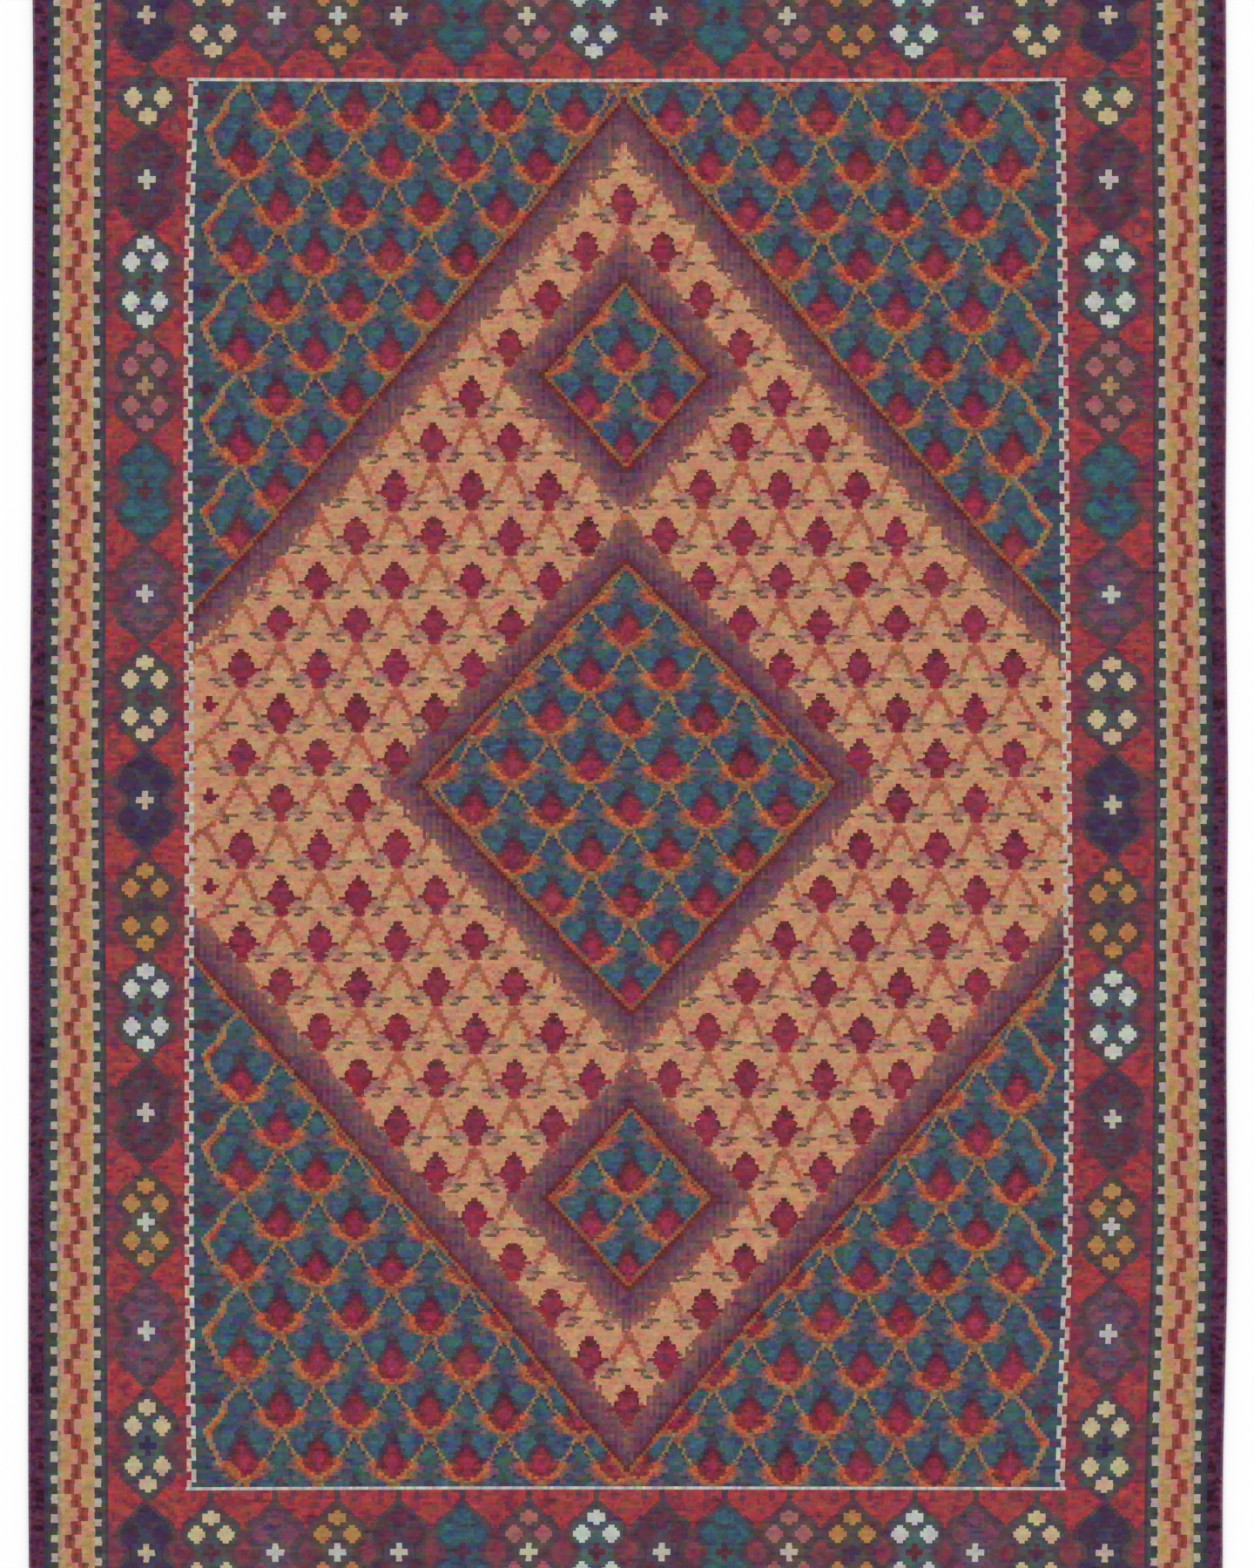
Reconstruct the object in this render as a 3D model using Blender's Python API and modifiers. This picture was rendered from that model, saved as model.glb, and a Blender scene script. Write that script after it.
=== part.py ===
"""A flat tapestry-woven kilim, laid out on the floor, in metres.

The cloth is one solid. X runs across its width, Y along its length and Z up,
and the origin is the middle of its flat underside. The two selvedges wander a
few millimetres, and the upper face is slightly cockled.
"""

import math

import bmesh
import bpy

NODE = "kilim"

# Driving dimensions of the cloth.
WIDTH = 1.250
LENGTH = 1.900
THICKNESS = 0.003

# Cells of the sheet, about 60 mm across and 55 mm along.
CELLS_ACROSS = 22
CELLS_ALONG = 36

# The long worn edge is slightly rounded.
EDGE_ROUNDING = 0.0008
EDGE_SEGMENTS = 2
RIM_ANGLE = math.radians(60.0)

# How far each selvedge stands outside its mean line, at points along the rug.
SELVEDGE_WANDER = (
    # (along from the middle, left, right)
    (-0.950, -0.001, -0.003),
    (-0.820, -0.001, -0.004),
    (-0.680, 0.003, -0.004),
    (-0.545, 0.003, -0.001),
    (-0.360, 0.002, 0.000),
    (-0.165, -0.001, 0.002),
    (0.000, 0.002, 0.003),
    (0.410, -0.001, -0.001),
    (0.680, -0.004, 0.002),
    (0.820, -0.001, -0.001),
    (0.950, -0.001, -0.001),
)

# The beaten ends bow by this much between the corners.
END_BOW = 0.002

# Low waves of the upper face: height, and cycles over the width and length.
COCKLES = (
    # (height, across, along)
    (0.00025, 1.5, 2.5),
    (0.00020, 2.5, -1.5),
    (0.00010, 4.0, 5.5),
)

WOOL_COLOUR = (0.185, 0.062, 0.055, 1.0)
WOOL_ROUGHNESS = 0.92


def clear_scene():
    """Remove whatever the opened file holds."""
    for thing in list(bpy.data.objects):
        bpy.data.objects.remove(thing)


def ease(fraction):
    """Return a smooth step from 0 to 1."""
    return fraction * fraction * (3.0 - 2.0 * fraction)


def selvedge_wander(along, side):
    """Return how far the left (0) or right (1) selvedge stands out at one place."""
    for low, high in zip(SELVEDGE_WANDER, SELVEDGE_WANDER[1:]):
        if along <= high[0]:
            blend = ease(max(0.0, (along - low[0]) / (high[0] - low[0])))
            return low[1 + side] + blend * (high[1 + side] - low[1 + side])
    return SELVEDGE_WANDER[-1][1 + side]


def cockle(across, along):
    """Return the height of the upper face over its mean, for places from 0 to 1."""
    return sum(
        height * math.sin(2.0 * math.pi * (turns_across * across + turns_along * along))
        for height, turns_across, turns_along in COCKLES
    )


def lay_flat(vert):
    """Move a point of the unit grid to its place on the underside."""
    across = vert.co.x + 0.5
    bow = END_BOW * math.sin(math.pi * across)
    along = vert.co.y * (LENGTH - 2.0 * bow)
    left = -0.5 * WIDTH - selvedge_wander(along, 0)
    right = 0.5 * WIDTH + selvedge_wander(along, 1)
    vert.co.x = left + across * (right - left)
    vert.co.y = along


def raise_face(vert):
    """Lift a point of the upper face to the thickness of the cloth."""
    across = vert.co.x / WIDTH + 0.5
    along = vert.co.y / LENGTH + 0.5
    vert.co.z = THICKNESS + cockle(across, along)


def cloth_mesh():
    """Build the closed sheet with its flat underside and cockled upper face."""
    cloth = bmesh.new()
    bmesh.ops.create_grid(cloth, x_segments=CELLS_ACROSS, y_segments=CELLS_ALONG, size=0.5)
    for vert in cloth.verts:
        lay_flat(vert)
    raised = bmesh.ops.extrude_face_region(cloth, geom=cloth.faces[:])
    for item in raised["geom"]:
        if isinstance(item, bmesh.types.BMVert):
            raise_face(item)
    bmesh.ops.recalc_face_normals(cloth, faces=cloth.faces[:])
    mesh = bpy.data.meshes.new(NODE)
    cloth.to_mesh(mesh)
    cloth.free()
    return mesh


def wool_material():
    """Return the plain wool finish of the solid."""
    material = bpy.data.materials.new("wool")
    material.use_nodes = True
    shader = material.node_tree.nodes["Principled BSDF"]
    shader.inputs["Base Color"].default_value = WOOL_COLOUR
    shader.inputs["Roughness"].default_value = WOOL_ROUGHNESS
    shader.inputs["Metallic"].default_value = 0.0
    return material


def round_edges(cloth):
    """Round the rim where the faces meet the edge of the cloth."""
    bevel = cloth.modifiers.new("rounded_rim", "BEVEL")
    bevel.width = EDGE_ROUNDING
    bevel.segments = EDGE_SEGMENTS
    bevel.limit_method = "ANGLE"
    bevel.angle_limit = RIM_ANGLE


def build_kilim():
    """Add the kilim to its own collection."""
    collection = bpy.data.collections.new("kilim_rug")
    bpy.context.scene.collection.children.link(collection)
    cloth = bpy.data.objects.new(NODE, cloth_mesh())
    cloth.data.materials.append(wool_material())
    collection.objects.link(cloth)
    round_edges(cloth)


clear_scene()
build_kilim()
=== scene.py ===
"""Looks of the tapestry-woven kilim: its cloth, its woven pattern, a floor, light and camera.

The pattern is worked out by shader nodes in design millimetres, counted across and
along from the middle of an ideal rug. The cloth carries the places of that design in a
UV map, so the pattern follows the wander of the hand-made weave.
"""

import math

import bmesh
import bpy
import numpy as np
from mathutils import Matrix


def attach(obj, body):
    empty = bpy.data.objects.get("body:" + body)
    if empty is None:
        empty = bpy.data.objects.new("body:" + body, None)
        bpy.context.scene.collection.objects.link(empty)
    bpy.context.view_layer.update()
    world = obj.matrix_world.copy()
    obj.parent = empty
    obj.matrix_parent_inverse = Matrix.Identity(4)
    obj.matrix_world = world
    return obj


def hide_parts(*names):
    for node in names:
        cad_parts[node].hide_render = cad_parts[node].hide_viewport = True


# The cloth's part in model.glb, which is hidden, and the name of the cloth built here.
NODE = "kilim"
CLOTH = "kilim_cloth"

# Millimetres in a metre. Lengths are in millimetres unless their comment says otherwise.
METRE = 1000.0

# Design of the rug, in millimetres from its middle. Side numbers run across, end numbers along.
HALF_WIDTH = 625.0
HALF_LENGTH = 950.0
SIDE_GUARD = 544.2
SIDE_BORDER = 461.5
SIDE_LINE = 448.7
FIELD_EDGE = 0.5 * (SIDE_BORDER + SIDE_LINE)
END_GUARD = 868.6
END_BORDER = 735.0
END_LINE = 731.9

# Weave: a bead is one weft over one warp, and a stitch is the smallest step of the drawing.
WARP = 1.75
PICK = 0.95
STITCH_ACROSS = 3.3375
STITCH_ALONG = 3.466

# Where the woven design lies on the cloth: places along it, in design and in cloth millimetres.
ALONG_DRIFT = (
    # (design, cloth)
    (-950.0, -950.0),
    (-804.0, -804.0),
    (-735.0, -738.8),
    (-703.6, -706.0),
    (-558.0, -552.5),
    (-412.5, -409.5),
    (-267.0, -264.0),
    (-24.0, -23.0),
    (121.0, 118.5),
    (267.0, 255.5),
    (461.0, 452.5),
    (703.6, 704.5),
    (735.0, 738.6),
    (804.0, 804.0),
    (950.0, 950.0),
)

# Across the cloth, the design's edges, guard stripes, white lines and middle wander along it.
ACROSS_DESIGN = (-HALF_WIDTH, -SIDE_GUARD, -FIELD_EDGE, 0.0, FIELD_EDGE, SIDE_GUARD, HALF_WIDTH)
ACROSS_DRIFT = (
    # (along, left edge, left guard, left line, middle, right line, right guard, right edge)
    (-950.0, -625.9, -542.3, -454.8, -2.0, 448.4, 538.6, 621.3),
    (-719.0, -627.7, -543.8, -456.6, -1.8, 451.1, 539.6, 621.3),
    (-501.0, -627.7, -545.7, -459.3, 0.4, 459.3, 546.2, 626.8),
    (-273.0, -626.8, -545.4, -459.3, 3.2, 461.1, 549.1, 625.0),
    (0.0, -626.8, -548.0, -459.0, 0.5, 458.4, 549.9, 627.3),
    (273.0, -624.1, -546.0, -460.6, -2.3, 456.2, 547.9, 624.1),
    (546.0, -623.2, -546.1, -460.0, -4.1, 453.8, 548.7, 625.9),
    (736.0, -622.3, -545.0, -454.2, -5.0, 451.2, 546.4, 625.0),
    (950.0, -624.1, -545.1, -452.0, -5.0, 448.4, 544.8, 624.1),
)

# The wander is averaged over these distances along the cloth.
DRIFT_SMOOTHING = (-45.0, -22.0, 0.0, 22.0, 45.0)

# The cloth's mesh: its cells, the low waves of its upper face, its bowed ends and round rim.
THICKNESS = 3.0
CELL = 9.0
COCKLES = (
    # (height, cycles across, cycles along)
    (0.25, 1.5, 2.5),
    (0.20, 2.5, -1.5),
    (0.10, 4.0, 5.5),
)
END_BOW = 2.0
RIM = (
    # (out from the flat face, height as a share of the thickness)
    (0.0, 1.0),
    (0.75, 0.88),
    (1.2, 0.5),
    (0.75, 0.12),
    (0.0, 0.0),
)

# Points nearer to each other than this are welded, in metres.
WELD_METRES = 1e-6

# The span of the cloth's second UV map, a little larger than the cloth.
BAKE_SPAN = (1266.0, 1916.0)

# Lattice of florets: rows along the rug, and the repeat across it in each ground.
ROW = 48.52
CREAM_REPEAT = 80.1
CORNER_REPEAT = 77.8

# In the corners the lattice starts from its own axis and lies lower, most on the right.
CORNER_START = 50.5
CORNER_DROP = 2.5
CORNER_LEAN = 0.014

# Columns and rows of a floret's chart, and the width of a column in each ground.
CHART_HALF = 12
CHART_ROWS = 14
CREAM_STEP = CREAM_REPEAT / (2.0 * CHART_HALF)
CORNER_STEP = CORNER_REPEAT / (2.0 * CHART_HALF)

# How unevenly a floret is woven, in chart steps: each row, each stitch, and its height.
ROW_SWAY = 0.8
STITCH_SWAY = 0.5
FLORET_SHIFT = 1.2

# Added to the numbers of the florets on the right, so that the two sides differ.
RIGHT_NUMBERS = 40.0

# Lozenges: middle along the rug, half height and slope, to the outside of their dark red line.
LOZENGES = (
    # (middle, half height, slope)
    (0.0, 247.6, 1.115),
    (9 * ROW, 102.5, 1.137),
    (-9 * ROW, 102.5, 1.137),
)

# The dark red lines of the corners: their reach on the middle axis, their slope, and how
# much the upper ones lean to the right.
FIELD_HALF = 711.7
FIELD_SLOPE = 1.19
FIELD_LEAN = 0.015

# The dark red line ends this far into a lozenge or corner, and the gold line inside it here.
RED_DEPTH = 6.4
GOLD_DEPTH = 12.0

# The hatched band outside the dark red line: its depth, its plain reach, the comb and fray
# beyond that, how far it covers the florets, and how long its teeth and streaks are.
BAND_DEPTH = 45.0
BAND_REACH = 34.0
BAND_COMB = 9.0
BAND_FRAY = 8.0
BAND_COVER = 27.9
BAND_TOOTH = 11.0
BAND_STREAK = 17.0

# Tone of the band at the dark red line, and how much grain, streaks and ribs vary it.
BAND_TONE = 0.87
BAND_GRAIN_TONE = 0.3
BAND_STREAK_TONE = 0.4
BAND_RIB_TONE = 0.15

# A floret whose middle lies nearer to the dark red line than this is left out.
CLEARANCE = 36.0

# One floret with its share of the lattice, from its axis outwards and from its tip down.
CREAM_FLORET = (
    "t........pll",
    "tt.......lll",
    "tmd.....pllp",
    "mmm.....ll..",
    "mmmd...pll..",
    "mmmd...ll...",
    "mmccccpll..b",
    "mcccvvvl.bbb",
    "mccvvvvv.bbb",
    "ccvvvvoooo..",
    "ccv..vvo....",
    "rw..ooo.....",
    "s...........",
    "ss.........p",
)
BLUE_FLORET = (
    "NNBBBBB,,,YY",
    "NNBBBBB,,,KY",
    "TNBBBBB,,kKN",
    "TTNBBBB,,KN,",
    "CTTNBBB,kK,H",
    "CCTN,B,,KNHH",
    "MCCTN,,Kk,HH",
    "MMCTNEKkN,HH",
    "MMCEEOOQP,,H",
    "MCCEEOOQPP,,",
    "MCEEOOQPPP,,",
    "CEEOOQQPN,,,",
    "EOOOQPP,,,,,",
    "KYQP,,PP,,,N",
)

# The lattice where the side of the field cuts a floret. Its first column lies outside the
# missing floret's axis, and the others run inwards from there.
CREAM_SIDE = (
    "...........ls",
    "..xx......llp",
    "..xx.....llp.",
    ".xxxxx..pll..",
    ".xxxx...ll...",
    "..xx...pll...",
    "......pll....",
    "......ll.....",
    "......ll.....",
    "....vvlooooo.",
    "....vlvvo....",
    "...ll.ooo....",
    "..lll........",
    ".lsp.........",
)

# The last florets of the blue corners with the side of the field, over two rows of florets.
BLUE_SIDE = (
    "YK,,,,,,,,,,,,,",
    "kKK,,,,,,,,,,,,",
    "HkKK,,,,,,NN,,,",
    "HH,KK,,,NNTTNN,",
    "HHH,KK,NNTTTTNN",
    "HHH,,KKNNTTTTNN",
    "HHH,,KK,,NNTN,,",
    "HH,,,QKK,,NN,,,",
    ",,,,,QOK,,,,,,,",
    ",,,,,,QOK,,,,,,",
    ",,BB,,,QOK,,,,,",
    ",BBBB,,,QOK,,,,",
    "NBBBBB,,EQOK,,,",
    "NNBBBBB,,EQOK,,",
    "NNNBBBB,,,QOK,,",
    "TNNBBBB,,,QKk,,",
    "CTN,BBB,,,KKN,,",
    "CTTNBBB,,KKk,,,",
    "MCTTN,B,,KKN,,,",
    "MCDTN,,,KKN,,,,",
    "MMCDTN,,KKk,,,,",
    "MMCDEE,KKN,,,,,",
    "MMCEOOOQKP,,,,,",
    "MCEOOOQQPP,,,,,",
    "CEOOOQEPPP,,,,,",
    "EOOOQENN,,,,,,,",
    "EOQQEPP,,,,,,,,",
    "KYQE,,PP,,,,,,,",
)

# The number of the floret that the cream side cuts, and where the blue side's chart starts.
CREAM_SIDE_NUMBER = 5
BLUE_SIDE_AXIS = 400.5

# A quarter of a border form, from its axis outwards and from its middle to its tip.
BORDER_FORM = (
    "***##DPPqqMMMM",
    "*####DPPqqMMMM",
    "*####DDPPqqMMM",
    "###D++DDPPqqMM",
    "###++++DDPPqqM",
    "##++++++DPPqqM",
    "##++++++DPPqqq",
    "###++++DDPPqqq",
    "DD#D++DDPPrqqq",
    "+D##DDDDPPrrqq",
    "+++DDDDPPrrrrq",
    "+++DDDPPrrrrrr",
    "+++DPPrrrrrrrr",
    "+DDPPrrrrrrrrr",
    "DDPPrrrrOOrrrr",
    "DPPrrrrrOOOrrr",
    "PPrrrrrrrOrrrr",
    "PrrrrMMrrrrrrr",
)

# Size of a cell of that chart, and the axes of the side and end borders.
FORM_STEP_ACROSS = 3.07
FORM_STEP_ALONG = 3.32
SIDE_AXIS = 501.7
END_AXIS = 804.0

# How far a stitch may stray from its column of a border chart, as a share of the column.
WAVER = 0.3

# The guard stripe from the edge band inwards, one row for each step of its meander.
GUARD_STRIPE = (
    "NnTTbplLlppaggyTTsS",
    "NnTTbplLlpaaggyTTsS",
    "NnTTbyaplLlpaayTTsS",
    "NnTTbyaalLlppayTTsS",
    "NnTTbgaplLlpaayTTsS",
    "NnTTbggplLlaaayTTsS",
    "NnTTbgggpplLlpyTTsS",
    "NnTTbgggaplLlpyTTsS",
    "NnTTbygggplLlpyTTsS",
    "NnTTbyggpplLlayTTsS",
    "NnTTbyaplLlpaayTTsS",
    "NnTTbyaplLlaaayTTsS",
    "NnTTbpaalLlaggyTTsS",
    "NnTTbypalLlaggyTTsS",
    "NnTTbplLlppgggyTTsS",
    "NnTTbplLlpagggyTTsS",
)

# Widths of the edge band, of its selvedge cords, which carry a painted highlight, and of a column
# of the guard stripe.
EDGE_BAND = 16.2
SELVEDGE_CORDS = 2.6
GUARD_STEP_ACROSS = 3.4

# The meander: length of one turn, and how its turns bow and shift along the rug.
MEANDER_TURN = 57.0
MEANDER_BOW = 20.8
MEANDER_REACH = 770.0
MEANDER_SHIFT = -7.9

# The left meander runs ahead of the right one, most at this place along.
MEANDER_LEAD = 14.0
LEAD_MIDDLE = 330.0
LEAD_REACH = 450.0

# The white teeth: their repeat, the share of it they fill, give or take, and the first
# column of the inner row with its shift against the outer row.
TOOTH_REPEAT = 21.4
TOOTH_SHARE = 0.42
TOOTH_SPREAD = 0.16
INNER_TEETH = 10
TOOTH_SHIFT = 4.0

# White zigzag between border and field: its repeat, and the share and width of its steps.
ZIGZAG_REPEAT = 21.7
ZIGZAG_SHARE = 0.6
ZIGZAG_STEP = 4.9

# Yarns of the charts: two shades each. The bodies of the florets come first.
YARNS = {
    "t": ("441c18", "683022"),
    "d": ("4c1418", "702826"),
    "m": ("742038", "90344c"),
    "c": ("6c1a26", "8a323a"),
    "r": ("742028", "883430"),
    "w": ("803434", "a8584c"),
    "x": ("5c1c24", "7a2c34"),
    "T": ("241a30", "3e2a40"),
    "D": ("481426", "6a2c3a"),
    "C": ("641828", "80302c"),
    "M": ("7a1c44", "9c3650"),
    "E": ("602018", "904436"),
    "s": ("a05044", "b06450"),
    "l": ("904c30", "ac644c"),
    "p": ("b87060", "c48878"),
    "b": ("b08658", "c49e7c"),
    "v": ("8a5a56", "ae7e6e"),
    "o": ("604436", "7a5846"),
    "O": ("94381c", "c47048"),
    "Q": ("78321a", "a46c5c"),
    "Y": ("804428", "8c6848"),
    "K": ("7c5a46", "9c7e5a"),
    "k": ("4c5048", "705c54"),
    "P": ("705052", "5c5860"),
    "B": ("28505a", "485a74"),
    "N": ("2e3244", "503e48"),
    "H": ("2c5850", "48506c"),
    # The grounds, which are worked out apart.
    ".": ("c4946c", "c4946c"),
    ",": ("444c58", "444c58"),
}
BODY_YARNS = 12

# The dye of a whole floret, and how much of it shows.
TINT_SHARE = 0.25
FLORET_TINTS = ("7c1c34", "a02c5c", "641830", "a43054", "84203c", "9c3c4c", "8c1c2c")

# Yarns of the border forms and of the guard stripe, in two shades each.
BORDER_YARNS = {
    "r": ("84363c", "98424a"),
    "q": ("583440", "843c48"),
    "O": ("862c30", "944a42"),
    "M": ("80283a", "74384c"),
    "P": ("603440", "484048"),
    # The yarns that differ from form to form.
    "+": ("ffffff", "ffffff"),
    "*": ("ffffff", "ffffff"),
    "#": ("ffffff", "ffffff"),
    "D": ("ffffff", "ffffff"),
}
GUARD_YARNS = {
    "N": ("382840", "34404a"),
    "n": ("34403c", "443c4c"),
    "T": ("b0a498", "a89c94"),
    "b": ("7c6848", "b09878"),
    "s": ("484c44", "4c3c4c"),
    "S": ("503848", "34383c"),
    "y": ("a48458", "b89880"),
    "g": ("a07c40", "b89060"),
    "p": ("b07060", "c08480"),
    "a": ("b48850", "bc8870"),
    "l": ("7c3c30", "984c40"),
    "L": ("702820", "8c4034"),
}

# Shades of the gaps between the white teeth.
TOOTH_GAP = ("48443c", "343c40")

# Border forms: colours of their crosses, centre, body and outline.
FORM_YARNS = "+*#D"
FORM_KINDS = {
    "cream": ("bca884", "522c40", "464a4e", "504448"),
    "cream navy": ("b8a888", "342c48", "465054", "4c4648"),
    "white": ("b8bcb4", "5c2838", "48545a", "4c4a52"),
    "rose": ("985c60", "9c805c", "584044", "563c42"),
    "rose star": ("985a5c", "b4ac98", "564448", "543e44"),
    "teal": ("325866", "522c40", "384e5a", "3c4450"),
    "gold": ("a87444", "44304a", "504042", "543c38"),
    "gold star": ("a87848", "b0b4ac", "544a44", "543f3a"),
    "plum star": ("5c2c3e", "b4ada2", "4c3c4c", "4c3040"),
    "mauve star": ("704055", "b4b2ac", "584658", "563a48"),
    "navy star": ("3e2848", "b4a48c", "40384e", "3c2e42"),
}

# Forms of the side borders, the same in both.
SIDE_FORMS = (
    # (middle along the rug, kind)
    (735.9, "cream"),
    (634.0, "plum star"),
    (531.0, "white"),
    (425.2, "rose"),
    (317.8, "teal"),
    (207.0, "mauve star"),
    (92.0, "cream"),
    (-17.7, "navy star"),
    (-130.4, "gold"),
    (-236.5, "white"),
    (-346.6, "plum star"),
    (-462.0, "gold star"),
    (-576.4, "mauve star"),
    (-690.6, "cream navy"),
)

# The side forms lie between these places. Only the tip of the topmost one's upper half has
# room, so that half starts this far up the form.
SIDE_FORMS_TOP = 752.0
SIDE_FORMS_BOTTOM = -747.0
SQUEEZE = 46.6

# The forms of the right side sag under those of the left, most at this place along.
SAG = 8.5
SAG_MIDDLE = -250.0
SAG_REACH = 520.0

# Forms of the end borders, the same in both.
END_FORMS = (
    # (middle across the rug, kind)
    (-504.0, "navy star"),
    (-435.0, "cream"),
    (-368.0, "mauve star"),
    (-303.0, "gold star"),
    (-238.5, "plum star"),
    (-172.0, "teal"),
    (-102.5, "rose star"),
    (-31.5, "white"),
    (37.0, "plum star"),
    (103.0, "teal"),
    (171.0, "rose star"),
    (237.5, "gold"),
    (303.0, "white"),
    (367.0, "mauve star"),
    (431.5, "cream"),
    (503.0, "navy star"),
)

# Mottled grounds, bands and lines, as shades that noise runs through.
CREAM_GROUND = ("a47840", "b48450", "bc906c", "c08464", "b4685c", "b08e70")
BLUE_GROUND = ("644236", "36463a", "2e5650", "324c5c", "424460", "5a4850", "603a48", "50362c")
BORDER_GROUND = ("483e3c", "6c3438", "882c3a", "9c3848", "9c3c30", "882640", "70344a", "4c3c46")
AUBERGINE = ("1c000e", "2c021c", "4c1a3a", "582c4a", "3c0c2a", "240014")
# The selvedge cords' colour is a painted highlight, paler than the edge band, as if the cords catch
# the light.
SELVEDGE_HIGHLIGHT = ("5c3450", "705068")
BAND = ("885650", "784c4c", "704850", "684254", "60384c", "5c2c44")
RED_LINE = ("6c2a28", "5a2028")
GOLD_LINE = ("a04828", "745848")
PINK_WHITE = ("ac8c80", "c8aca0", "b4988c")
GREY_WHITE = ("a4a098", "c4c0b8", "a49c98")

# Drifts of the dyes, and how far their clouds are spread.
DRIFTS = {
    # (cloud size across, cloud size along, seed, detail, share of each stitch's own grain)
    "cream": (16.0, 8.0, 3.0, 2.0, 0.25),
    "blue": (15.0, 5.0, 4.0, 2.0, 0.25),
    "floret": (10.0, 8.0, 12.0, 2.0, 0.6),
    "border": (26.0, 20.0, 11.0, 3.0, 0.12),
    "guard": (8.0, 10.0, 21.0, 2.0, 0.4),
    "edge band": (28.0, 13.0, 22.0, 3.0, 0.2),
}
CLOUD_CONTRAST = 2.2

# Seeds of the random numbers, by what they vary.
SEEDS = {
    "grain": 1.0,
    "stitch stain": 2.0,
    "blot stain": 3.0,
    "stray": 5.0,
    "band tooth": 6.0,
    "mood": 7.0,
    "band streak": 8.0,
    "row sway": 9.0,
    "white tooth": 23.0,
    "fleck": 31.0,
}

# How strongly a stitch, and a blot of a few stitches, differ from their dye, and a blot's size.
STITCH_STAIN = 0.28
BLOT_STAIN = 2.2
BLOT_ACROSS = 14.0
BLOT_ALONG = 6.0
BLOT_DETAIL = 1.0

# The stains are full in dark wool, and fade with the sum of red, green and blue.
STAIN_START = 1.2
STAIN_FADE = 0.9
STAIN_LEAST = 0.4

# Roundness of a weft bead along the rug; how much painted shade darkens the wool where the beads
# dip between warps and picks, and how much each bead's fleck varies its tone at random.
PICK_ROUNDNESS = 0.8
BEAD_SHADE = 0.2
FLECK_TONE = 0.16

# Finish of the wool. The relief depth is in metres.
ROUGHNESS = 0.9
ROUGHNESS_SPREAD = 0.12
SHEEN = 0.12
SHEEN_ROUGHNESS = 0.5
SPECULAR = 0.2
RELIEF_STRENGTH = 0.6
RELIEF_DEPTH = 0.0003
FLECK_RELIEF = 0.3

# The plain pale floor just under the cloth, in metres, and its soft studio light.
FLOOR_HALF = 40.0
FLOOR_DROP = 0.0006
FLOOR_COLOUR = (0.95, 0.95, 0.95, 1.0)
FLOOR_ROUGHNESS = 0.9
SKY_COLOUR = (1.0, 1.0, 1.0, 1.0)
SKY_STRENGTH = 0.8
SUN_STRENGTH = 1.05
SUN_SPREAD = math.radians(20.0)
SUN_TURN = (math.radians(35.0), math.radians(-25.0), 0.0)

# The camera looks straight down on this length of the rug, in metres, and crops both ends.
VIEW_LENGTH = 1.6387
VIEW_SHIFT = -0.0014
LENS = 100.0
SENSOR = 36.0

# How many chart cells, and how many runs of one yarn, fit one colour ramp.
CHART_CELLS = 120
RAMP_STOPS = 32

# Numbers of the Mix node's colour sockets.
MIX_FACTOR, MIX_A, MIX_B, MIX_RESULT = 0, 6, 7, 2


# --- Numbers worked out by nodes ------------------------------------------------------


class Num:
    """A number or a colour that varies over the cloth. Arithmetic on it adds Math nodes."""

    def __init__(self, socket):
        self.socket = socket
        self.tree = socket.id_data

    def math(self, operation, *others):
        """Add one Math node that takes this number and the others."""
        node = self.tree.nodes.new("ShaderNodeMath")
        node.operation = operation
        for socket, value in zip(node.inputs, (self, *others)):
            feed(socket, value)
        return Num(node.outputs[0])

    def __add__(self, other):
        """Add."""
        return self.math("ADD", other)

    def __sub__(self, other):
        """Subtract."""
        return self.math("SUBTRACT", other)

    def __mul__(self, other):
        """Multiply."""
        return self.math("MULTIPLY", other)

    def __truediv__(self, other):
        """Divide."""
        return self.math("DIVIDE", other)

    def __lt__(self, other):
        """Return 1 where this number is less than the other, and 0 elsewhere."""
        return self.math("LESS_THAN", other)

    def __gt__(self, other):
        """Return 1 where this number is greater than the other, and 0 elsewhere."""
        return self.math("GREATER_THAN", other)

    def __and__(self, other):
        """Return 1 where both masks are 1."""
        return self.math("MULTIPLY", other)

    def __or__(self, other):
        """Return the larger number, or where either mask is 1."""
        return self.math("MAXIMUM", other)

    def __invert__(self):
        """Return 1 where this mask is 0."""
        return self.math("LESS_THAN", 0.5)

    def __abs__(self):
        """Return the size without the sign."""
        return self.math("ABSOLUTE")

    def floor(self):
        """Round down to a whole number."""
        return self.math("FLOOR")

    def fraction(self):
        """Return the part above the whole number below."""
        return self.math("FRACT")

    def step(self, count):
        """Round down to one of this many whole numbers, counted from 0."""
        return self.floor().clamp(0.0, count - 1.0)

    def clamp(self, low, high):
        """Keep this number between two limits."""
        return self.math("MAXIMUM", low).math("MINIMUM", high)

    def towards(self, other, share):
        """Move this number by a share of the way to another."""
        return self + (other - self) * share


def feed(socket, value):
    """Link a number or colour to a socket, or set the socket's own value."""
    if isinstance(value, Num):
        value.tree.links.new(value.socket, socket)
    else:
        socket.default_value = value


def vector(x, y, z):
    """Join three numbers, of which x varies, into a vector socket."""
    node = x.tree.nodes.new("ShaderNodeCombineXYZ")
    for socket, value in zip(node.inputs, (x, y, z)):
        feed(socket, value)
    return node.outputs[0]


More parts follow.
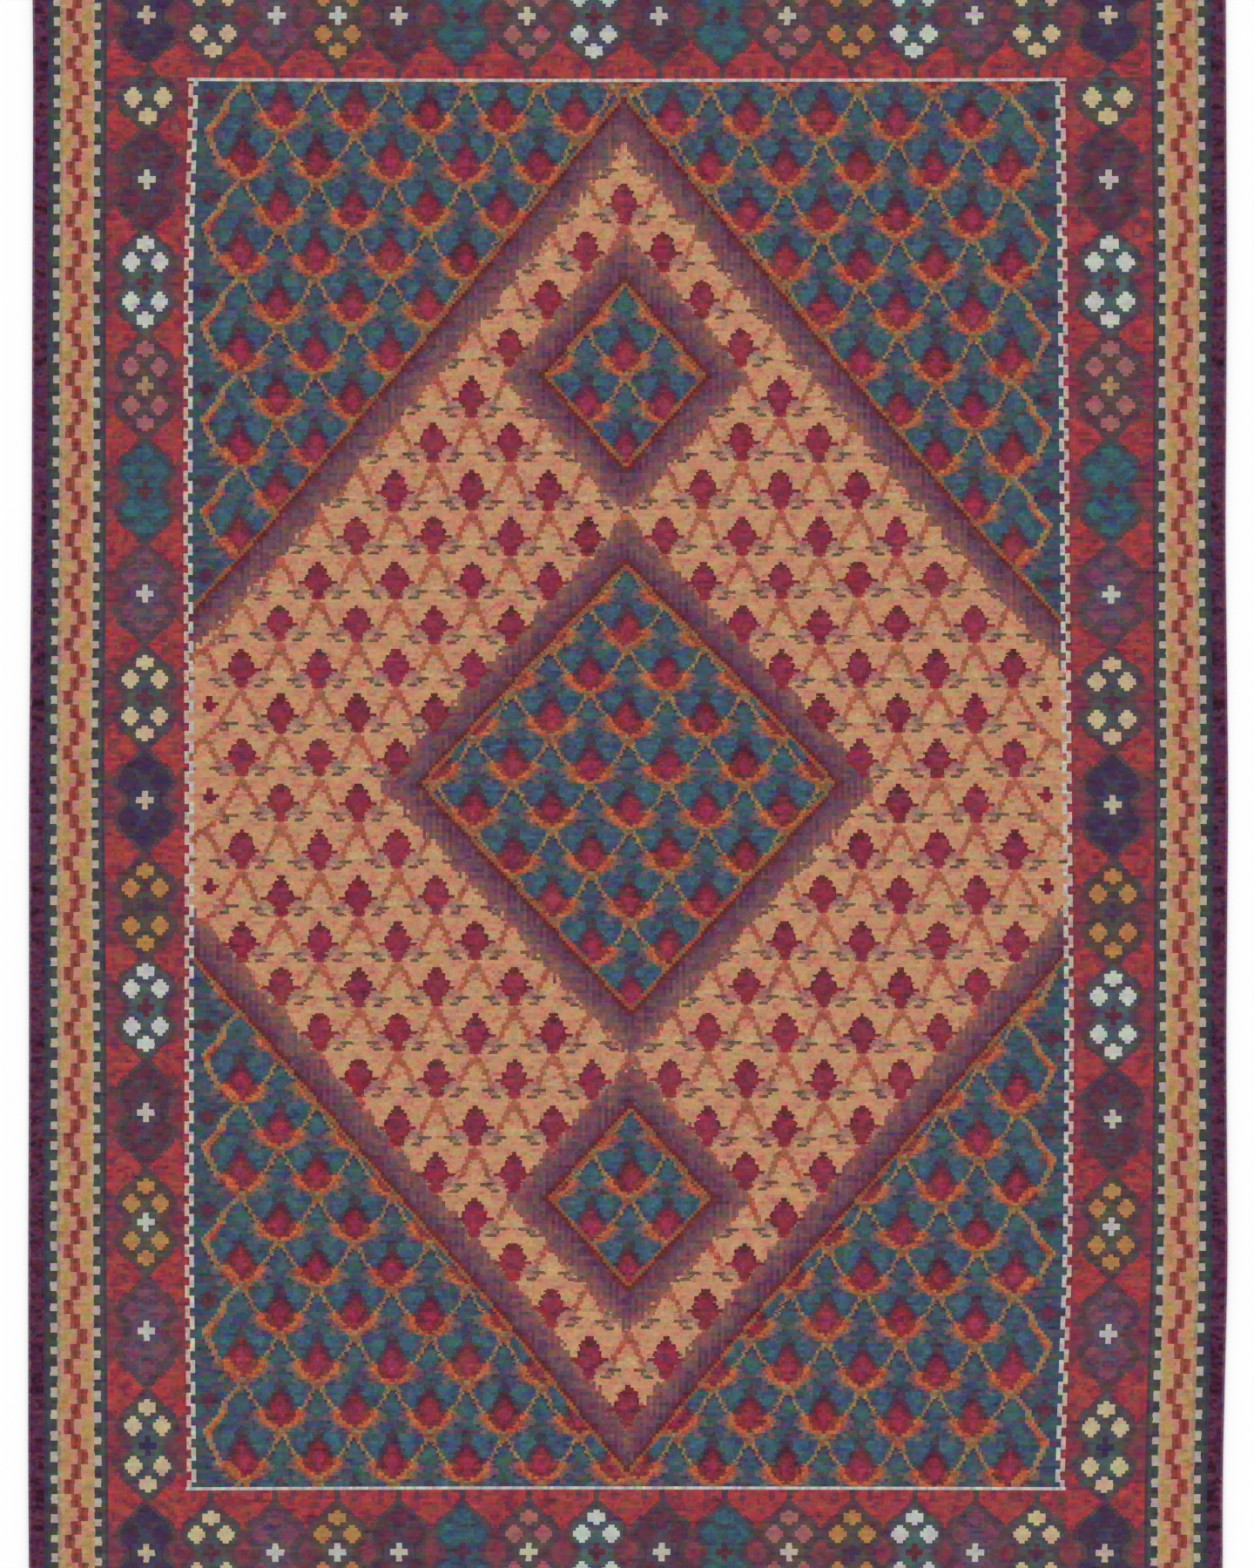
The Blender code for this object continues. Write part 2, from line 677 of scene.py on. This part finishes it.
def vector_math(tree, operation, first, *others):
    """Add one Vector Math node."""
    node = tree.nodes.new("ShaderNodeVectorMath")
    node.operation = operation
    tree.links.new(first, node.inputs[0])
    sockets = [node.inputs["Scale"]] if operation == "SCALE" else node.inputs[1:]
    for socket, value in zip(sockets, others):
        feed(socket, value)
    return node.outputs["Value" if operation == "DOT_PRODUCT" else "Vector"]


def linear(hexa):
    """Turn an sRGB colour of six hex digits into linear RGBA."""
    parts = (int(hexa[at : at + 2], 16) / 255.0 for at in (0, 2, 4))
    return (*(p / 12.92 if p < 0.04045 else ((p + 0.055) / 1.055) ** 2.4 for p in parts), 1.0)


def ramp(factor, stops, interpolation):
    """Add a colour ramp of (position, RGBA) stops and return its node."""
    node = factor.tree.nodes.new("ShaderNodeValToRGB")
    node.color_ramp.interpolation = interpolation
    elements = node.color_ramp.elements
    elements.remove(elements[1])
    elements[0].position = stops[0][0]
    for position, _ in stops[1:]:
        elements.new(position)
    for element, (_, colour) in zip(elements, stops):
        element.color = colour
    feed(node.inputs[0], factor)
    return node


def blend(share, low, high):
    """Mix two colours."""
    node = share.tree.nodes.new("ShaderNodeMix")
    node.data_type = "RGBA"
    feed(node.inputs[MIX_FACTOR], share)
    feed(node.inputs[MIX_A], low)
    feed(node.inputs[MIX_B], high)
    return Num(node.outputs[MIX_RESULT])


def shades(factor, pair):
    """Mix two shades of one colour."""
    return blend(factor, linear(pair[0]), linear(pair[1]))


def gradient(factor, hexes):
    """Return a smooth colour ramp over evenly spaced shades."""
    last = len(hexes) - 1
    stops = [(at / last, linear(shade)) for at, shade in enumerate(hexes)]
    return Num(ramp(factor, stops, "LINEAR").outputs["Color"])


def pick(number, colours):
    """Return the colour at a whole number, from a list of RGBA colours."""
    count = len(colours)
    stops = [(at / count, colour) for at, colour in enumerate(colours)]
    return Num(ramp((number + 0.5) / count, stops, "CONSTANT").outputs["Color"])


def random_node(x, y, seed):
    """Add a node of noise that is random for each pair of whole numbers."""
    node = x.tree.nodes.new("ShaderNodeTexWhiteNoise")
    x.tree.links.new(vector(x, y, seed), node.inputs["Vector"])
    return node


def cloud_node(x, y, seed, detail):
    """Add a node of smooth noise over two numbers."""
    node = x.tree.nodes.new("ShaderNodeTexNoise")
    x.tree.links.new(vector(x, y, seed), node.inputs["Vector"])
    node.inputs["Scale"].default_value = 1.0
    node.inputs["Detail"].default_value = detail
    return node


def chance(x, y, kind):
    """Return a random number from 0 to 1 for each pair of whole numbers, by what it varies."""
    return Num(random_node(x, y, SEEDS[kind]).outputs["Value"])


def drift(x, y, grain, kind):
    """Return a smooth drift from 0 to 1 over two lengths, broken up by the grain."""
    wide, tall, seed, detail, share = DRIFTS[kind]
    cloud = Num(cloud_node(x / wide, y / tall, seed, detail).outputs["Fac"])
    spread = ((cloud - 0.5) * CLOUD_CONTRAST + 0.5).clamp(0.0, 1.0)
    return spread.towards(grain, share)


def hump(number, middle, reach):
    """Return 1 at the middle, falling evenly to 0 at the reach from it."""
    return (abs(number - middle) / -reach + 1.0).clamp(0.0, 1.0)


# --- Charts ---------------------------------------------------------------------------


def yarn_place(yarns, symbol):
    """Return where a yarn stands in its palette, from 0 to 1."""
    return (list(yarns).index(symbol) + 0.5) / len(yarns)


def chart_parts(chart):
    """Split a chart into groups of rows that fit one ramp each, as (first row, runs)."""
    width, first, runs = len(chart[0]), 0, []
    for at, row in enumerate(chart):
        fresh = [
            (column, symbol)
            for column, symbol in enumerate(row)
            if column == 0 or symbol != row[column - 1]
        ]
        full = len(runs) + len(fresh) > RAMP_STOPS or (at + 1 - first) * width > CHART_CELLS
        if full:
            yield first, runs
            first, runs = at, []
        runs += [((at - first) * width + column, symbol) for column, symbol in fresh]
    yield first, runs


def read_chart(chart, yarns, column, row):
    """Return the palette place of the yarn at a whole column and row of a chart."""
    width = len(chart[0])
    parts = list(chart_parts(chart))
    ends = [first for first, _ in parts[1:]] + [len(chart)]
    yarn = None
    for (first, runs), end in zip(parts, ends):
        cells = (end - first) * width
        stops = [(cell / cells, (0.0, 0.0, 0.0, yarn_place(yarns, s))) for cell, s in runs]
        place = ((row - first) * width + column + 0.5) / cells
        here = Num(ramp(place, stops, "CONSTANT").outputs["Alpha"])
        yarn = here if yarn is None else yarn.towards(here, row > first - 0.5)
    return yarn


def is_yarn(yarn, yarns, symbol):
    """Return 1 where the chart shows this yarn."""
    return abs(yarn - yarn_place(yarns, symbol)) < 0.25 / len(yarns)


def dyed(yarn, yarns, shade):
    """Return the yarn's colour between its two shades."""
    sides = []
    for side in (0, 1):
        stops = [(at / len(yarns), linear(pair[side])) for at, pair in enumerate(yarns.values())]
        sides.append(Num(ramp(yarn, stops, "CONSTANT").outputs["Color"]))
    return blend(shade, *sides)


# --- The field ------------------------------------------------------------------------


class Place:
    """Where a point lies in the design, with its stitch and the stitch's own dye and stray."""

    def __init__(self, tree):
        uv = tree.nodes.new("ShaderNodeUVMap")
        uv.uv_map = "weave"
        parts = tree.nodes.new("ShaderNodeSeparateXYZ")
        tree.links.new(uv.outputs[0], parts.inputs[0])
        self.across = Num(parts.outputs[0]) * METRE
        self.along = Num(parts.outputs[1]) * METRE
        self.column = (self.across / STITCH_ACROSS).floor()
        self.row = (self.along / STITCH_ALONG).floor()
        self.step_across = (self.column + 0.5) * STITCH_ACROSS
        self.step_along = (self.row + 0.5) * STITCH_ALONG
        self.grain = chance(self.column, self.row, "grain")
        self.stray = chance(self.column, self.row, "stray") - 0.5

    def drift(self, kind):
        """Return a drift of the dye over the stitches, from 0 to 1."""
        return drift(self.step_across, self.step_along, self.grain, kind)


def odd(number):
    """Return 1 for an odd whole number."""
    return abs(number * 0.5).fraction() * 2.0


def lozenge_depths(out, along, lean):
    """Return how far a point lies past the dark red lines, in the corners and lozenges."""
    corner = abs(along) + out * FIELD_SLOPE + lean - FIELD_HALF
    inner = None
    for middle, half, slope in LOZENGES:
        depth = (abs(along - middle) + out * slope) * -1.0 + half
        inner = depth if inner is None else inner | depth
    return corner, inner


class Floret:
    """The floret that a point belongs to, with the point's chart column and row in it."""

    def __init__(self, place, corner, inner):
        repeat = corner * (CORNER_REPEAT - CREAM_REPEAT) + CREAM_REPEAT
        start = corner * CORNER_START + inner * (0.5 * CREAM_REPEAT)
        along = place.along + corner * (place.across * CORNER_LEAN + CORNER_DROP)
        self.level = (along / ROW).floor()
        self.odd = odd(self.level)
        shifted = (abs(place.across) - start) / repeat - self.odd * 0.5
        self.number = (shifted + 0.5).floor()
        self.middle_across = (self.number + self.odd * 0.5) * repeat + start
        self.middle_along = (self.level + 0.5) * ROW
        name = self.number + (place.across > 0.0) * RIGHT_NUMBERS
        self.mood = chance(name, self.level, "mood")
        sway = (chance(name, place.row, "row sway") - 0.5) * ROW_SWAY + place.stray * STITCH_SWAY
        away = abs(shifted - self.number) * (2.0 * CHART_HALF) + sway
        down = (self.level + 1.0 - along / ROW) * CHART_ROWS + (self.mood - 0.5) * FLORET_SHIFT
        self.column = away.step(CHART_HALF)
        self.row = down.step(CHART_ROWS)


def hatched_band(place, depth):
    """Return where the hatched band lies, with its comb on the cream side, and its colour."""
    tooth = chance(place.column, (place.step_along / BAND_TOOTH).floor(), "band tooth")
    combed = depth + tooth * BAND_COMB + place.grain * BAND_FRAY
    mask = (combed > -BAND_REACH) & (depth < 0.0)
    streak = chance(place.column, (place.step_along / BAND_STREAK).floor(), "band streak") - 0.5
    tone = depth / BAND_DEPTH + BAND_TONE + place.grain * BAND_GRAIN_TONE
    tone = tone + streak * BAND_STREAK_TONE - odd(place.column) * BAND_RIB_TONE
    return mask, gradient(tone.clamp(0.0, 1.0), BAND)


def white_lines(place, colour):
    """Lay the white zigzag of the sides and the straight white line of the ends."""
    past = abs(place.across) - FIELD_EDGE
    turn = (place.along / ZIGZAG_REPEAT).fraction()
    half = (place.along / ZIGZAG_REPEAT + 0.5).fraction()
    pink = gradient(place.grain, PINK_WHITE)
    grey = gradient(place.grain, GREY_WHITE)
    colour = blend(past > 0.0, colour, gradient(place.grain, BORDER_GROUND))
    colour = blend((past > 0.0) & (past < ZIGZAG_STEP) & (turn < ZIGZAG_SHARE), colour, pink)
    colour = blend((past > -ZIGZAG_STEP) & (past < 0.0) & (half < ZIGZAG_SHARE), colour, grey)
    return blend(abs(place.along) > END_LINE, colour, grey)


def field_yarn(place, floret, corner, inner):
    """Return the palette place of a field stitch's yarn, outside the bands and lines."""
    cream = read_chart(CREAM_FLORET, YARNS, floret.column, floret.row)
    inward = (floret.middle_across - abs(place.across)) / CREAM_STEP + 1.0
    cut = read_chart(CREAM_SIDE, YARNS, inward.step(len(CREAM_SIDE[0])), floret.row)
    cream = cream.towards(cut, (floret.number > CREAM_SIDE_NUMBER - 0.5) & floret.odd)
    blue = read_chart(BLUE_FLORET, YARNS, floret.column, floret.row)
    past = abs(place.across) - BLUE_SIDE_AXIS
    side_column = (past / CORNER_STEP).step(len(BLUE_SIDE[0]))
    side_row = floret.row + floret.odd * CHART_ROWS
    side = read_chart(BLUE_SIDE, YARNS, side_column, side_row)
    blue = blue.towards(side, (past > 0.0) & corner)
    return cream.towards(blue, corner | inner)


def field_grounds(place, yarn, hidden, colour):
    """Lay the cream and blue grounds between the florets, and over the florets left out."""
    cream = gradient(place.drift("cream"), CREAM_GROUND)
    colour = blend(is_yarn(yarn, YARNS, ".") | hidden, colour, cream)
    blue = gradient(place.drift("blue"), BLUE_GROUND)
    return blend(is_yarn(yarn, YARNS, ","), colour, blue)


def lozenge_lines(place, depth, shade, colour):
    """Lay the dark red line round the lozenges and corners, and the gold line inside it."""
    red = (depth > 0.0) & (depth < RED_DEPTH)
    gold = (depth > RED_DEPTH) & (depth < GOLD_DEPTH)
    colour = blend(red, colour, shades(place.grain, RED_LINE))
    return blend(gold, colour, shades(shade, GOLD_LINE))


def field_pattern(place):
    """Return the colour of the field: florets, lozenges, bands and white lines."""
    lean = place.across * (place.along > 0.0) * FIELD_LEAN
    corner_depth, inner_depth = lozenge_depths(abs(place.step_across), place.step_along, lean)
    depth = corner_depth | inner_depth
    corner = corner_depth > GOLD_DEPTH
    inner = inner_depth > GOLD_DEPTH
    floret = Floret(place, corner, inner)
    yarn = field_yarn(place, floret, corner, inner)
    body = yarn < BODY_YARNS / len(YARNS)
    shade = place.drift("floret")
    colour = dyed(yarn, YARNS, shade)
    colour = blend(body * TINT_SHARE, colour, gradient(floret.mood, FLORET_TINTS))
    nearest = lozenge_depths(floret.middle_across, floret.middle_along, lean)
    hidden = ((nearest[0] | nearest[1]) > -CLEARANCE) & (depth < 0.0) & body
    colour = field_grounds(place, yarn, hidden, colour)
    mask, band = hatched_band(place, depth)
    over = ~body | hidden | (depth > -BAND_COVER)
    colour = blend(mask & over, colour, band)
    return white_lines(place, lozenge_lines(place, depth, shade, colour))


# --- The borders ----------------------------------------------------------------------


def nearest_form(position, forms):
    """Return the number of the nearest border form, and the distance to its middle."""
    middles = [middle for middle, _ in forms]
    upwards = middles[0] < middles[-1]
    number = None
    for one, other in zip(middles, middles[1:]):
        halfway = 0.5 * (one + other)
        passed = position > halfway if upwards else position < halfway
        number = passed if number is None else number + passed
    count = len(forms)
    span = 2.0 * HALF_LENGTH
    stops = [(at / count, (0.0, 0.0, 0.0, m / span + 0.5)) for at, m in enumerate(middles)]
    middle = Num(ramp((number + 0.5) / count, stops, "CONSTANT").outputs["Alpha"])
    return number, position - (middle - 0.5) * span


def border_form(place):
    """Return the chart column and row in a border form, and the form's number."""
    out, along = abs(place.across), place.along
    in_side = (out > SIDE_BORDER) & (along < SIDE_FORMS_TOP) & (along > SIDE_FORMS_BOTTOM)
    sag = hump(along, SAG_MIDDLE, SAG_REACH) * SAG
    side_number, side_up = nearest_form(along + sag * (place.across > 0.0), SIDE_FORMS)
    squeezed = (side_number < 0.5) & (side_up > 0.0)
    end_number, end_away = nearest_form(place.across, END_FORMS)
    away = abs(end_away).towards(abs(out - SIDE_AXIS), in_side)
    up = abs(abs(along) - END_AXIS).towards(abs(side_up) + squeezed * SQUEEZE, in_side)
    column = (away / FORM_STEP_ACROSS + place.stray * WAVER).step(len(BORDER_FORM[0]))
    row = (up / FORM_STEP_ALONG).step(len(BORDER_FORM))
    number = (end_number + len(SIDE_FORMS)).towards(side_number, in_side)
    return column, row, number


def border_pattern(place):
    """Return the colour of the main border."""
    column, row, number = border_form(place)
    yarn = read_chart(BORDER_FORM, BORDER_YARNS, column, row)
    shade = place.drift("border")
    colour = dyed(yarn, BORDER_YARNS, shade)
    colour = blend(is_yarn(yarn, BORDER_YARNS, "r"), colour, gradient(shade, BORDER_GROUND))
    kinds = [kind for _, kind in SIDE_FORMS + END_FORMS]
    for at, symbol in enumerate(FORM_YARNS):
        own = pick(number, [linear(FORM_KINDS[kind][at]) for kind in kinds])
        colour = blend(is_yarn(yarn, BORDER_YARNS, symbol), colour, own)
    return colour


def guard_place(place):
    """Return how far a point lies inside the nearest edge, and how far along that edge."""
    side = abs(place.across) * -1.0 + HALF_WIDTH
    end = abs(place.along) * -1.0 + HALF_LENGTH
    on_end = end < side
    return side.towards(end, on_end), place.along.towards(place.across, on_end)


def meander_row(place, run):
    """Return the chart row of the guard stripe's meander."""
    lead = hump(run, LEAD_MIDDLE, LEAD_REACH) * MEANDER_LEAD * (place.across < 0.0)
    late = (run * run / MEANDER_REACH**2 - 1.0) * MEANDER_BOW - lead + MEANDER_SHIFT
    return (((run + late) / MEANDER_TURN).fraction() * len(GUARD_STRIPE)).floor()


def tooth_gap(column, run):
    """Return 1 between the white teeth, which are not quite even."""
    inner = column > INNER_TEETH - 0.5
    teeth = (run + inner * TOOTH_SHIFT) / TOOTH_REPEAT
    share = (chance(teeth.floor(), inner, "white tooth") - 0.5) * TOOTH_SPREAD + TOOTH_SHARE
    return teeth.fraction() > share


def guard_pattern(place):
    """Return the colour of the edge band and the guard stripe."""
    inward, run = guard_place(place)
    strayed = (inward - EDGE_BAND) / GUARD_STEP_ACROSS + place.stray * WAVER
    column = strayed.step(len(GUARD_STRIPE[0]))
    yarn = read_chart(GUARD_STRIPE, GUARD_YARNS, column, meander_row(place, run))
    colour = dyed(yarn, GUARD_YARNS, place.drift("guard"))
    gap = is_yarn(yarn, GUARD_YARNS, "T") & tooth_gap(column, run)
    colour = blend(gap, colour, shades(place.grain, TOOTH_GAP))
    edge = gradient(drift(inward, run, place.grain, "edge band"), AUBERGINE)
    # Painted highlight: the selvedge cords are painted paler, as if they catch the light.
    edge = blend(inward < SELVEDGE_CORDS, edge, shades(place.grain, SELVEDGE_HIGHLIGHT))
    return blend(inward < EDGE_BAND, colour, edge)


# --- The weave and the materials ------------------------------------------------------


def bead_relief(place):
    """Return the height of the weft beads over the warps, from 0 to 1, and their noise."""
    ribs = place.across / WARP
    rib = ribs.floor()
    picks = place.along / PICK + odd(rib) * 0.5
    pick_number = picks.floor()
    off_rib = abs(ribs - rib - 0.5) * 2.0
    off_pick = abs(picks - pick_number - 0.5) * 2.0
    rib_height = off_rib * off_rib * -1.0 + 1.0
    pick_height = off_pick * off_pick * -PICK_ROUNDNESS + 1.0
    return rib_height * pick_height, chance(rib, pick_number, "fleck")


def stains(place, colour):
    """Return how unevenly the dye took, in stitches and in blots, and most in dark wool."""
    tree = colour.tree
    stitch = random_node(place.column, place.row, SEEDS["stitch stain"])
    spot = place.step_across / BLOT_ACROSS, place.step_along / BLOT_ALONG
    blot = cloud_node(*spot, SEEDS["blot stain"], BLOT_DETAIL)
    offset = 3 * (-0.5 * (STITCH_STAIN + BLOT_STAIN),)
    fine = vector_math(tree, "MULTIPLY_ADD", stitch.outputs["Color"], 3 * (STITCH_STAIN,), offset)
    both = vector_math(tree, "MULTIPLY_ADD", blot.outputs["Color"], 3 * (BLOT_STAIN,), Num(fine))
    bright = vector_math(tree, "DOT_PRODUCT", colour.socket, 3 * (1.0,))
    uneven = (Num(bright) * -STAIN_FADE + STAIN_START).clamp(STAIN_LEAST, 1.0)
    return vector_math(tree, "ADD", vector_math(tree, "SCALE", both, uneven), 3 * (1.0,))


def wool_material(name, pattern):
    """Return the woven wool material that shows one zone's pattern."""
    material = bpy.data.materials.new(name)
    material.use_nodes = True
    tree = material.node_tree
    shader = tree.nodes["Principled BSDF"]
    place = Place(tree)
    colour = pattern(place)
    height, fleck = bead_relief(place)
    # The bead height darkens the base colour between the beads: painted shade, on top of the bump's
    # relief. The fleck varies each bead's tone at random.
    bead_shade_and_fleck = ((height - 0.5) * BEAD_SHADE + 1.0) * ((fleck - 0.5) * FLECK_TONE + 1.0)
    stains_and_bead_shade = vector_math(tree, "SCALE", stains(place, colour), bead_shade_and_fleck)
    tree.links.new(vector_math(tree, "MULTIPLY", stains_and_bead_shade, colour), shader.inputs["Base Color"])
    feed(shader.inputs["Roughness"], (fleck - 0.5) * ROUGHNESS_SPREAD + ROUGHNESS)
    shader.inputs["Sheen Weight"].default_value = SHEEN
    shader.inputs["Sheen Roughness"].default_value = SHEEN_ROUGHNESS
    shader.inputs["Specular IOR Level"].default_value = SPECULAR
    bump = tree.nodes.new("ShaderNodeBump")
    bump.inputs["Strength"].default_value = RELIEF_STRENGTH
    bump.inputs["Distance"].default_value = RELIEF_DEPTH
    feed(bump.inputs["Height"], height + fleck * FLECK_RELIEF)
    tree.links.new(bump.outputs[0], shader.inputs["Normal"])
    return material


# --- The cloth ------------------------------------------------------------------------


def grid_lines(stops):
    """Return evenly spaced lines between each pair of stops, about a cell apart."""
    lines = [stops[0]]
    for low, high in zip(stops, stops[1:]):
        count = max(1, round((high - low) / CELL))
        lines += list(np.linspace(low, high, count + 1)[1:])
    return np.array(lines)


def smooth_table(along, places, values):
    """Read a table at places along the rug, rounding its corners."""
    reads = [np.interp(along + shift, places, values) for shift in DRIFT_SMOOTHING]
    return sum(reads) / len(reads)


def lay_design(across, along):
    """Return where points of the design lie on the cloth, in millimetres."""
    lines = [
        smooth_table(along, [row[0] for row in ACROSS_DRIFT], [row[at] for row in ACROSS_DRIFT])
        for at in range(1, len(ACROSS_DESIGN) + 1)
    ]
    x = np.empty_like(across)
    for at, (low, high) in enumerate(zip(ACROSS_DESIGN, ACROSS_DESIGN[1:])):
        here = (across >= low) & (across <= high)
        share = (across[here] - low) / (high - low)
        x[here] = lines[at][here] + share * (lines[at + 1][here] - lines[at][here])
    design, cloth = zip(*ALONG_DRIFT)
    y = np.interp(along, design, cloth)
    bow = END_BOW * np.sin(math.pi * (across / (2.0 * HALF_WIDTH) + 0.5))
    return x, y * (1.0 - bow / HALF_LENGTH)


def cockle(across, along):
    """Return the height of the upper face over its mean."""
    x, y = across / (2.0 * HALF_WIDTH) + 0.5, along / (2.0 * HALF_LENGTH) + 0.5
    return sum(height * np.sin(2.0 * math.pi * (a * x + b * y)) for height, a, b in COCKLES)


def zone(across, along):
    """Return the material number of a cell: field, border, or guard stripe and edge band."""
    if abs(across) > SIDE_GUARD or abs(along) > END_GUARD:
        return 2
    return int(abs(across) > SIDE_BORDER or abs(along) > END_BORDER)


def face_cells(columns, rows):
    """Return the cells of a face as the numbers of their corners, and the zone of each."""
    wide = len(columns)
    cells, zones = [], []
    for row, along in enumerate(0.5 * (rows[1:] + rows[:-1])):
        for column, across in enumerate(0.5 * (columns[1:] + columns[:-1])):
            first = row * wide + column
            cells.append((first, first + 1, first + wide + 1, first + wide))
            zones.append(zone(across, along))
    return cells, zones


def edge_points(wide, tall):
    """Return the numbers of a face's edge points, in order around it."""
    front = list(range(wide))
    right = [row * wide + wide - 1 for row in range(1, tall)]
    back = [(tall - 1) * wide + column for column in range(wide - 2, -1, -1)]
    left = [row * wide for row in range(tall - 2, 0, -1)]
    return front + right + back + left


def rim_strips(count):
    """Return the four-sided cells between the lines of the rim, count points to a line."""
    return [
        (line + (at + 1) % count, line + at, line + count + at, line + count + (at + 1) % count)
        for line in range(0, (len(RIM) - 1) * count, count)
        for at in range(count)
    ]


def rim_lines(design, cloth):
    """Return the rim's points on the cloth and in the design, from its top to its underside."""
    outward = np.sign(design) * np.isclose(abs(design), np.max(design, axis=0))
    places, patterns, arc, last = [], [], 0.0, RIM[0]
    for out, height in RIM:
        arc += math.hypot(out - last[0], (height - last[1]) * THICKNESS)
        last = (out, height)
        places.append(np.column_stack((cloth[:, :2] + out * outward, height * cloth[:, 2])))
        patterns.append(design + arc * outward)
    return np.vstack(places), np.vstack(patterns)


def cloth_sheet():
    """Return the sheet's points on the cloth and in the design, its cells and their zones."""
    side, end = (half - RIM[len(RIM) // 2][0] for half in (HALF_WIDTH, HALF_LENGTH))
    columns = grid_lines((-side, -SIDE_GUARD, -SIDE_BORDER, SIDE_BORDER, SIDE_GUARD, side))
    rows = grid_lines((-end, -END_GUARD, -END_BORDER, END_BORDER, END_GUARD, end))
    design = np.column_stack([grid.ravel() for grid in np.meshgrid(columns, rows)])
    x, y = lay_design(*design.T)
    top = np.column_stack((x, y, THICKNESS + cockle(*design.T)))
    edge = edge_points(len(columns), len(rows))
    rim, rim_design = rim_lines(design[edge], top[edge])
    cells, zones = face_cells(columns, rows)
    under = [tuple(len(top) + at for at in reversed(cell)) for cell in cells]
    strips = [tuple(2 * len(top) + at for at in cell) for cell in rim_strips(len(edge))]
    points = np.vstack((top, top * (1.0, 1.0, 0.0), rim))
    designs = np.vstack((design, design, rim_design))
    return points, designs, cells + under + strips, zones * 2 + [2] * len(strips)


def cloth_mesh():
    """Build the closed sheet, with the places of the design in its UV maps."""
    points, designs, cells, zones = cloth_sheet()
    mesh = bpy.data.meshes.new(CLOTH)
    mesh.from_pydata((points / METRE).tolist(), [], cells)
    mesh.polygons.foreach_set("material_index", zones)
    corners = np.empty(len(mesh.loops), np.int32)
    mesh.loops.foreach_get("vertex_index", corners)
    weave = mesh.uv_layers.new(name="weave")
    weave.data.foreach_set("uv", (designs[corners] / METRE).ravel())
    bake = mesh.uv_layers.new(name="OFBake")
    bake.data.foreach_set("uv", (designs[corners] / BAKE_SPAN + 0.5).ravel())
    weld(mesh)
    mesh.shade_smooth()
    return mesh


def weld(mesh):
    """Join the rim's first and last lines to the faces, which keeps each side's own UVs."""
    sheet = bmesh.new()
    sheet.from_mesh(mesh)
    bmesh.ops.remove_doubles(sheet, verts=sheet.verts[:], dist=WELD_METRES)
    sheet.to_mesh(mesh)
    sheet.free()


def build_cloth():
    """Add the cloth with its woven materials."""
    cloth = bpy.data.objects.new(CLOTH, cloth_mesh())
    bpy.context.scene.collection.objects.link(cloth)
    patterns = (field_pattern, border_pattern, guard_pattern)
    for name, pattern in zip(("wool_field", "wool_border", "wool_guard"), patterns):
        cloth.data.materials.append(wool_material(name, pattern))
    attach(cloth, "root")
    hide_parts(NODE)


def build_stage():
    """Add the plain pale floor."""
    far = FLOOR_HALF
    corners = [(x, y, -FLOOR_DROP) for x, y in ((-far, -far), (far, -far), (far, far), (-far, far))]
    mesh = bpy.data.meshes.new("floor")
    mesh.from_pydata(corners, [], [(0, 1, 2, 3)])
    material = bpy.data.materials.new("floor")
    material.use_nodes = True
    shader = material.node_tree.nodes["Principled BSDF"]
    shader.inputs["Base Color"].default_value = FLOOR_COLOUR
    shader.inputs["Roughness"].default_value = FLOOR_ROUGHNESS
    mesh.materials.append(material)
    floor = bpy.data.objects.new("floor", mesh)
    bpy.context.scene.collection.objects.link(floor)


def build_light():
    """Light the cloth softly, from all round and a little more from one side."""
    scene = bpy.context.scene
    scene.world = bpy.data.worlds.new("studio")
    scene.world.use_nodes = True
    sky = scene.world.node_tree.nodes["Background"]
    sky.inputs["Color"].default_value = SKY_COLOUR
    sky.inputs["Strength"].default_value = SKY_STRENGTH
    lamp = bpy.data.lights.new("key", "SUN")
    lamp.energy = SUN_STRENGTH
    lamp.angle = SUN_SPREAD
    key = bpy.data.objects.new("key", lamp)
    key.rotation_euler = SUN_TURN
    scene.collection.objects.link(key)
    scene.view_settings.view_transform = "Standard"


def build_camera():
    """Look straight down on the middle of the cloth, as in the photo."""
    data = bpy.data.cameras.new("camera")
    data.lens = LENS
    data.sensor_width = SENSOR
    camera = bpy.data.objects.new("camera", data)
    camera.location = (VIEW_SHIFT, 0.0, VIEW_LENGTH * LENS / SENSOR + THICKNESS / METRE)
    bpy.context.scene.collection.objects.link(camera)
    bpy.context.scene.camera = camera


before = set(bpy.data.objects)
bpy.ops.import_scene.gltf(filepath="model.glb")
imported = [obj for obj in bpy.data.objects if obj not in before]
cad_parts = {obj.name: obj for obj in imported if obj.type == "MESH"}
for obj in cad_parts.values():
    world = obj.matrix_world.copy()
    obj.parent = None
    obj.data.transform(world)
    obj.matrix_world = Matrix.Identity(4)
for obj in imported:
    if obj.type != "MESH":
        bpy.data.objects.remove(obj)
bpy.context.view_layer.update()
build_camera()
build_cloth()
build_stage()
build_light()
